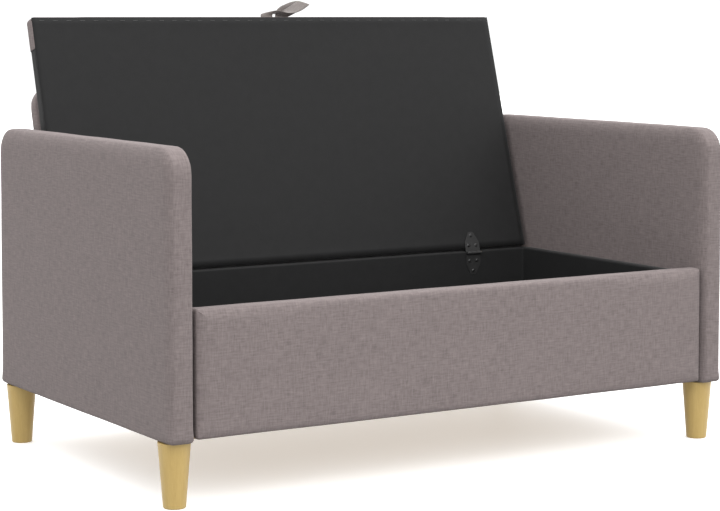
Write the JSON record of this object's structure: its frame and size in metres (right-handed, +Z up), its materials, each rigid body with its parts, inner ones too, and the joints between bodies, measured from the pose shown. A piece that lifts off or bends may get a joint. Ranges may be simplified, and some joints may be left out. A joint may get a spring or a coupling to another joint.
{
  "type": "storage bench",
  "caption": "Upholstered storage bench with slab arms, a leaning backrest, a lined box, a hinged lid with a pull loop, and tapered legs.",
  "frame": {"origin": "on the floor, in the middle of the footprint of the two arms", "axes": "+X along the bench to the right when seen from the front, +Y to the rear, +Z up"},
  "size_m": [1.13, 0.7047, 0.8091],
  "materials": {
    "fabric": "taupe linen weave",
    "lining": "black non-woven cloth",
    "ribbon": "ribbed taupe ribbon",
    "screw_steel": "zinc plated",
    "hinge_steel": "satin black",
    "leg_wood": "clear lacquered beech",
    "wadding": "polyester wadding",
    "hardboard": "raw hardboard",
    "board": "raw plywood",
    "timber": "raw pine"
  },
  "bodies": {
    "bench": {"arm_l_bottom_rail": "timber", "arm_l_cover": "fabric", "arm_l_front_post": "timber", "arm_l_padding": "wadding", "arm_l_rear_post": "timber", "arm_l_skins": "hardboard", "arm_l_top_rail": "timber", "arm_r_bottom_rail": "timber", "arm_r_cover": "fabric", "arm_r_front_post": "timber", "arm_r_padding": "wadding", "arm_r_rear_post": "timber", "arm_r_skins": "hardboard", "arm_r_top_rail": "timber", "back_bottom_rail": "timber", "back_cover": "fabric", "back_left_post": "timber", "back_padding": "wadding", "back_right_post": "timber", "back_skins": "hardboard", "back_struts": "timber", "back_top_rail": "timber", "base_board": "board", "box_lining": "lining", "front_ledge": "lining", "hinge_board": "board", "hinge_l_box_leaf": "hinge_steel", "hinge_l_box_screws": "screw_steel", "hinge_l_pin": "screw_steel", "hinge_r_box_leaf": "hinge_steel", "hinge_r_box_screws": "screw_steel", "hinge_r_pin": "screw_steel", "leg_bolt_fl": "screw_steel", "leg_bolt_fr": "screw_steel", "leg_bolt_rl": "screw_steel", "leg_bolt_rr": "screw_steel", "leg_fl": "leg_wood", "leg_fr": "leg_wood", "leg_rl": "leg_wood", "leg_rr": "leg_wood", "panel_board": "board", "panel_cover": "fabric", "panel_padding": "wadding", "rear_board": "hardboard", "rear_cover": "fabric", "side_board_l": "board", "side_board_r": "board"},
    "lid": {"hinge_l_lid_leaf": "hinge_steel", "hinge_l_lid_screws": "screw_steel", "hinge_r_lid_leaf": "hinge_steel", "hinge_r_lid_screws": "screw_steel", "lid_board": "board", "lid_front_strip": "fabric", "lid_lining": "lining", "lid_padding": "wadding", "lid_top_cover": "lining", "pull_loop": "ribbon"}
  },
  "joints": [
    {"name": "lid_hinge", "type": "hinge", "parent": "bench", "child": "lid", "pos_m": [0, 0.179, 0.3052], "axis": [1, 0, 0], "range_deg": [0, 106.5]}
  ]
}
